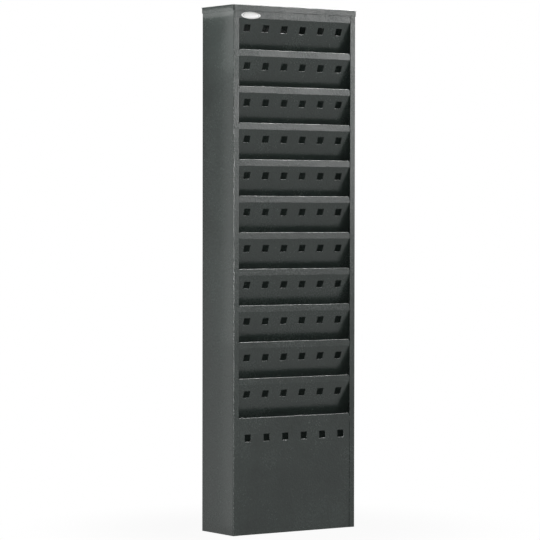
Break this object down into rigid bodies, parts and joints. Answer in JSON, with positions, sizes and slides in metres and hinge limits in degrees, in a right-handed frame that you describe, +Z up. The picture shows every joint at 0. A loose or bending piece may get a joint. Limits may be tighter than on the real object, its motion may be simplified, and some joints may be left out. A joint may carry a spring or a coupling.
{
  "type": "periodical display rack",
  "caption": "Tall narrow sheet-steel magazine rack with a column of sloping hemmed pockets, perforated panels, a boxed base and a flat cap; stands or hangs on a wall.",
  "frame": {"origin": "on the floor, under the middle of the casing (bottom centre of the bounding box)", "axes": "+Z up, -Y out of the open front towards the reader, +X to the right of someone who faces the front"},
  "size_m": [0.2628, 0.1024, 0.921],
  "materials": {
    "grey_powder_coat": "fine-textured semi-gloss charcoal grey powder coat",
    "blank_badge": "glossy white, domed"
  },
  "bodies": {
    "root": {"side_panel_left": "grey_powder_coat", "side_panel_right": "grey_powder_coat", "back_panel": "grey_powder_coat", "top_cap": "grey_powder_coat", "bottom_pan": "grey_powder_coat", "header_plate": "grey_powder_coat", "pocket_plate_01": "grey_powder_coat", "pocket_plate_02": "grey_powder_coat", "pocket_plate_03": "grey_powder_coat", "pocket_plate_04": "grey_powder_coat", "pocket_plate_05": "grey_powder_coat", "pocket_plate_06": "grey_powder_coat", "pocket_plate_07": "grey_powder_coat", "pocket_plate_08": "grey_powder_coat", "pocket_plate_09": "grey_powder_coat", "pocket_plate_10": "grey_powder_coat", "lower_front_panel": "grey_powder_coat", "oval_badge": "blank_badge"}
  },
  "joints": []
}
